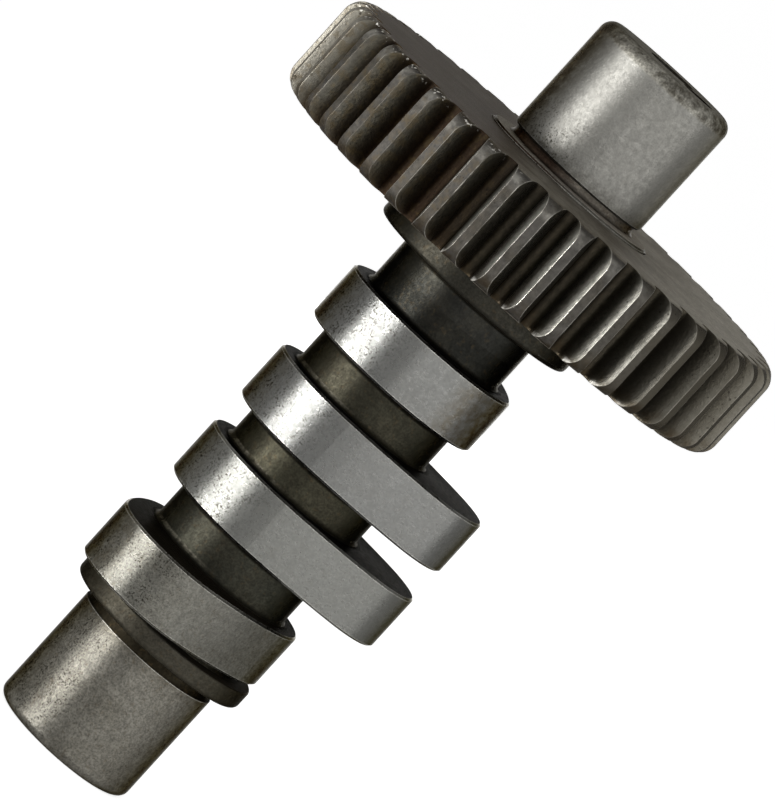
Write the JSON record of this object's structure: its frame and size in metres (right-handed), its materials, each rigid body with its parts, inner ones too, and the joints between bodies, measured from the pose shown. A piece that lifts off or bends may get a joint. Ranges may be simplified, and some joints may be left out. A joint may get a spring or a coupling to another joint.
{
  "type": "camshaft",
  "caption": "Short engine camshaft with ground lobes between two plain journals and a straight-toothed timing gear pressed on beside the outer journal.",
  "frame": {"origin": "centre of the end face of the inner journal, on which the shaft stands", "axes": "+Z along the shaft from the inner journal to the gear and the outer journal; the nose of lobe 4 points close to +Y and those of lobes 2 and 3 close to +X"},
  "size_m": [0.0868, 0.0868, 0.1405],
  "materials": {
    "shaft_steel": "ground and oiled, used",
    "gear_steel": "dark and oily, worn bright at the tooth edges",
    "key_steel": "plain bright steel"
  },
  "bodies": {
    "root": {"camshaft": "shaft_steel", "cam_gear": "gear_steel", "drive_key": "key_steel"}
  },
  "joints": []
}
